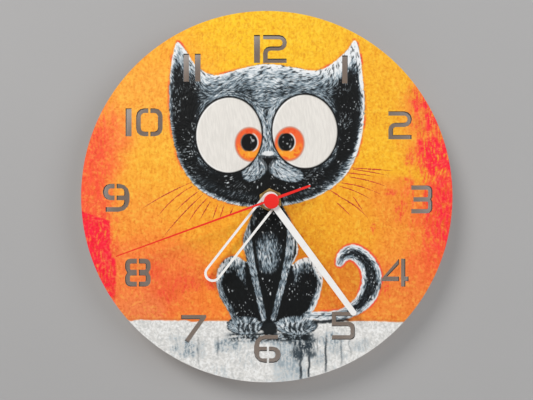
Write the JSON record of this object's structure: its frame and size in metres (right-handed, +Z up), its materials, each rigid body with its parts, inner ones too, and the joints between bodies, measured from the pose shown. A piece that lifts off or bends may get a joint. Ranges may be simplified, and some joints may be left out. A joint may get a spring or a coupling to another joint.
{
  "type": "round wall clock with a painted face",
  "caption": "Flat round wall clock: a painted board with a cat picture and stencil-cut numerals, three hands and a quartz movement with its full gear train behind.",
  "frame": {"origin": "the hands' axis in the plane of the wall, at the middle of the movement's rear cover plane", "axes": "+Z up towards the 12, +Y into the wall, -Y towards the viewer, +X to the viewer's right"},
  "size_m": [0.25, 0.0313, 0.25],
  "materials": {
    "dial_board": "3 mm fibreboard, front printed with a picture in yellow, orange, red, black and white, satin",
    "white_enamel": "painted satin white",
    "red_enamel": "painted satin orange-red",
    "brass": "machined, slightly dull",
    "steel": "bright",
    "rubber": "matt",
    "black_plastic": "fine grained",
    "white_plastic": "moulded",
    "gear_plastic": "moulded",
    "magnet": "sintered",
    "soft_iron": "stamped",
    "copper_wire": "enamelled copper wire",
    "green_board": "solder mask",
    "black_resin": "poured",
    "nickel": "nickel plated",
    "cell_jacket": "printed film, no print shown"
  },
  "bodies": {
    "clock_body": {"dial_disc": "dial_board", "hex_nut": "brass", "brass_washer": "brass", "rubber_gasket": "rubber", "threaded_bush": "brass", "front_housing": "black_plastic", "rear_cover": "black_plastic", "train_bridge": "white_plastic", "cover_screw_1": "steel", "cover_screw_2": "steel", "cover_screw_3": "steel", "cover_screw_4": "steel", "bridge_screw_1": "steel", "bridge_screw_2": "steel", "stator": "soft_iron", "coil_core": "soft_iron", "coil_bobbin": "white_plastic", "coil_winding": "copper_wire", "circuit_board": "green_board", "circuit_chip": "black_resin", "quartz_crystal": "nickel", "battery_contact_negative": "nickel", "battery_contact_positive": "nickel", "battery_spring": "steel"},
    "second_arbor": {"second_wheel": "gear_plastic", "second_hand": "red_enamel", "second_cap": "red_enamel"},
    "minute_pipe": {"centre_wheel": "gear_plastic", "minute_hand": "white_enamel"},
    "hour_pipe": {"hour_wheel": "gear_plastic", "hour_hand": "white_enamel"},
    "third_arbor": {"third_wheel": "gear_plastic"},
    "intermediate_arbor": {"intermediate_wheel": "gear_plastic"},
    "rotor": {"rotor_pinion": "gear_plastic", "rotor_magnet": "magnet"},
    "motion_arbor": {"motion_wheel": "gear_plastic", "setting_knob": "white_plastic"},
    "battery": {"battery_cell": "cell_jacket", "battery_terminal": "nickel"}
  },
  "joints": [
    {"name": "second_spin", "type": "hinge", "parent": "clock_body", "child": "second_arbor", "pos_m": [0, 0, 0], "axis": [0, 1, 0], "continuous": true},
    {"name": "minute_spin", "type": "hinge", "parent": "clock_body", "child": "minute_pipe", "pos_m": [0, 0, 0], "axis": [0, 1, 0], "continuous": true},
    {"name": "hour_spin", "type": "hinge", "parent": "clock_body", "child": "hour_pipe", "pos_m": [0, 0, 0], "axis": [0, 1, 0], "continuous": true},
    {"name": "third_spin", "type": "hinge", "parent": "clock_body", "child": "third_arbor", "pos_m": [0.00884, 0, 0], "axis": [0, 1, 0], "continuous": true},
    {"name": "intermediate_spin", "type": "hinge", "parent": "clock_body", "child": "intermediate_arbor", "pos_m": [-0.00308, 0, 0.00846], "axis": [0, 1, 0], "continuous": true},
    {"name": "rotor_spin", "type": "hinge", "parent": "clock_body", "child": "rotor", "pos_m": [-0.00308, 0, 0.01494], "axis": [0, 1, 0], "continuous": true},
    {"name": "motion_spin", "type": "hinge", "parent": "clock_body", "child": "motion_arbor", "pos_m": [-0.00927, 0, -0.00248], "axis": [0, 1, 0], "continuous": true},
    {"name": "battery_slide", "type": "slide", "parent": "clock_body", "child": "battery", "axis": [0, 1, 0], "range_m": [0, 0.02]}
  ],
  "couplings": [
    {"joint": "minute_spin", "follows": "second_spin", "ratio": 0.016667},
    {"joint": "hour_spin", "follows": "second_spin", "ratio": 0.0013889},
    {"joint": "third_spin", "follows": "second_spin", "ratio": -0.13333},
    {"joint": "intermediate_spin", "follows": "second_spin", "ratio": -6},
    {"joint": "rotor_spin", "follows": "second_spin", "ratio": 30},
    {"joint": "motion_spin", "follows": "second_spin", "ratio": -0.0055556}
  ]
}
